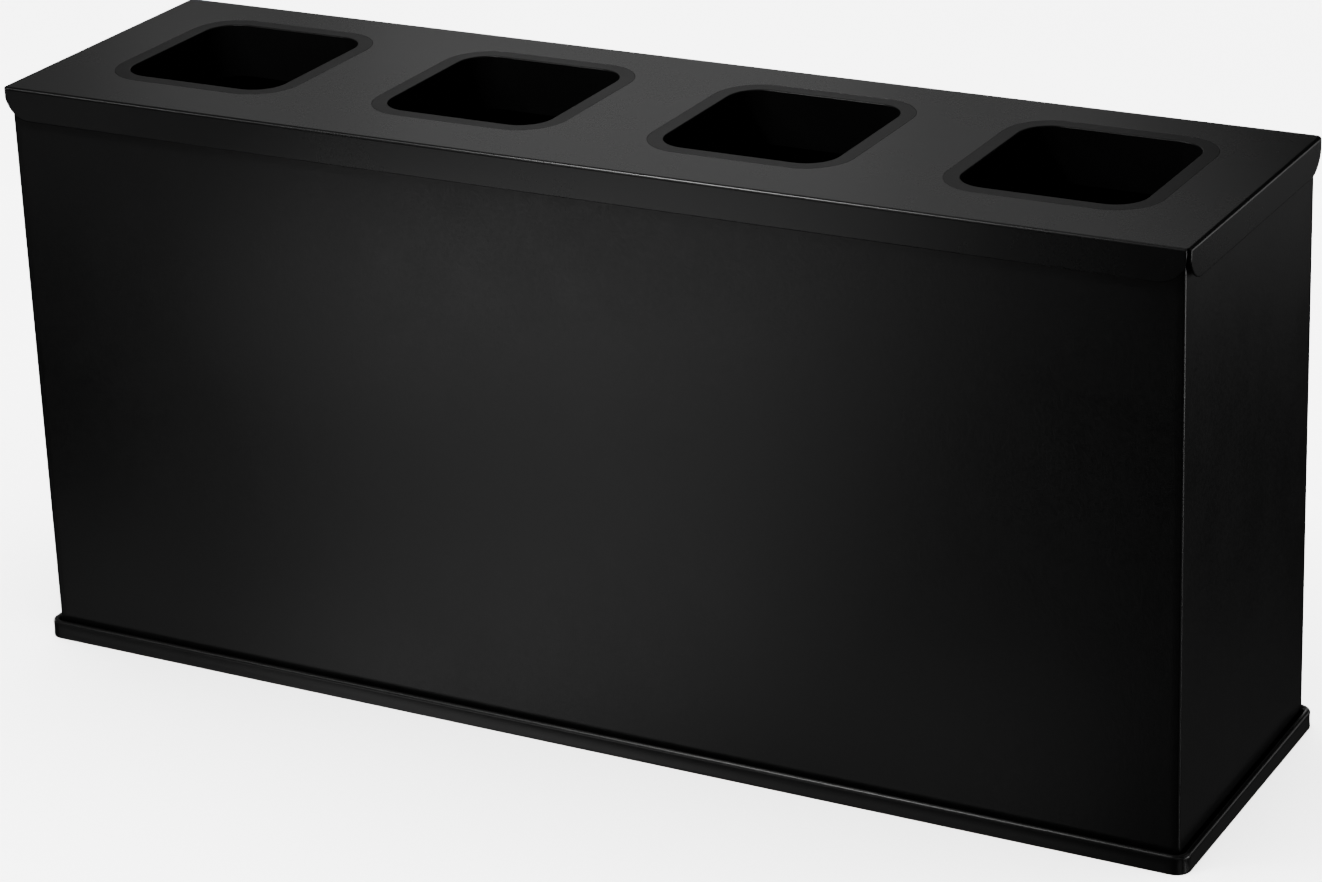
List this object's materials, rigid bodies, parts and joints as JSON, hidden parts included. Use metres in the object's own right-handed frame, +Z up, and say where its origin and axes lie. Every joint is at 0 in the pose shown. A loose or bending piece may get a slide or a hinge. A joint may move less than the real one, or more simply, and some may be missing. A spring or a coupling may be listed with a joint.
{
  "type": "recycling bin station",
  "caption": "Long low recycling station: folded black steel box on a rubber plinth, loose skirted lid with a rounded square aperture over each lift-out liner.",
  "frame": {"origin": "middle of the footprint, on the ground", "axes": "+Z up, +X along the row of liners, front faces -Y"},
  "size_m": [1.207, 0.329, 0.575],
  "materials": {
    "shell_coat": "black powder coat, fine satin texture",
    "lid_coat": "black powder coat, fine satin texture",
    "inner_coat": "black powder coat, matt",
    "ring_plastic": "moulded black plastic, fine grain",
    "liner_plastic": "moulded black plastic, matt",
    "trim_rubber": "extruded black rubber, satin skin",
    "buffer_rubber": "matt black rubber",
    "zinc_steel": "bright zinc plate"
  },
  "bodies": {
    "shell_assembly": {"base_trim": "trim_rubber", "floor_pan": "inner_coat", "shell_wrap": "shell_coat", "rear_panel": "shell_coat", "front_rail": "inner_coat", "rear_rail": "inner_coat", "left_rail": "inner_coat", "right_rail": "inner_coat", "lid_buffers": "buffer_rubber", "divider_1": "inner_coat", "divider_2": "inner_coat", "divider_3": "inner_coat", "rear_rivets": "shell_coat", "base_screws": "zinc_steel"},
    "lid_assembly": {"lid": "lid_coat", "aperture_ring_1": "ring_plastic", "aperture_ring_2": "ring_plastic", "aperture_ring_3": "ring_plastic", "aperture_ring_4": "ring_plastic", "lid_stiffener_1": "inner_coat", "lid_stiffener_2": "inner_coat", "lid_stiffener_3": "inner_coat", "ring_studs": "zinc_steel", "ring_nuts": "zinc_steel"},
    "bin_1": {"liner_1": "liner_plastic"},
    "bin_2": {"liner_2": "liner_plastic"},
    "bin_3": {"liner_3": "liner_plastic"},
    "bin_4": {"liner_4": "liner_plastic"}
  },
  "joints": [
    {"name": "lid_lift", "type": "slide", "parent": "shell_assembly", "child": "lid_assembly", "axis": [0, 0, 1], "range_m": [0, 0.65]},
    {"name": "bin_1_lift", "type": "slide", "parent": "shell_assembly", "child": "bin_1", "axis": [0, 0, 1], "range_m": [0, 0.586]},
    {"name": "bin_2_lift", "type": "slide", "parent": "shell_assembly", "child": "bin_2", "axis": [0, 0, 1], "range_m": [0, 0.586]},
    {"name": "bin_3_lift", "type": "slide", "parent": "shell_assembly", "child": "bin_3", "axis": [0, 0, 1], "range_m": [0, 0.586]},
    {"name": "bin_4_lift", "type": "slide", "parent": "shell_assembly", "child": "bin_4", "axis": [0, 0, 1], "range_m": [0, 0.586]}
  ],
  "couplings": [
    {"joint": "bin_1_lift", "follows": "lid_lift", "ratio": 0.9},
    {"joint": "bin_2_lift", "follows": "lid_lift", "ratio": 0.9},
    {"joint": "bin_3_lift", "follows": "lid_lift", "ratio": 0.9},
    {"joint": "bin_4_lift", "follows": "lid_lift", "ratio": 0.9}
  ]
}
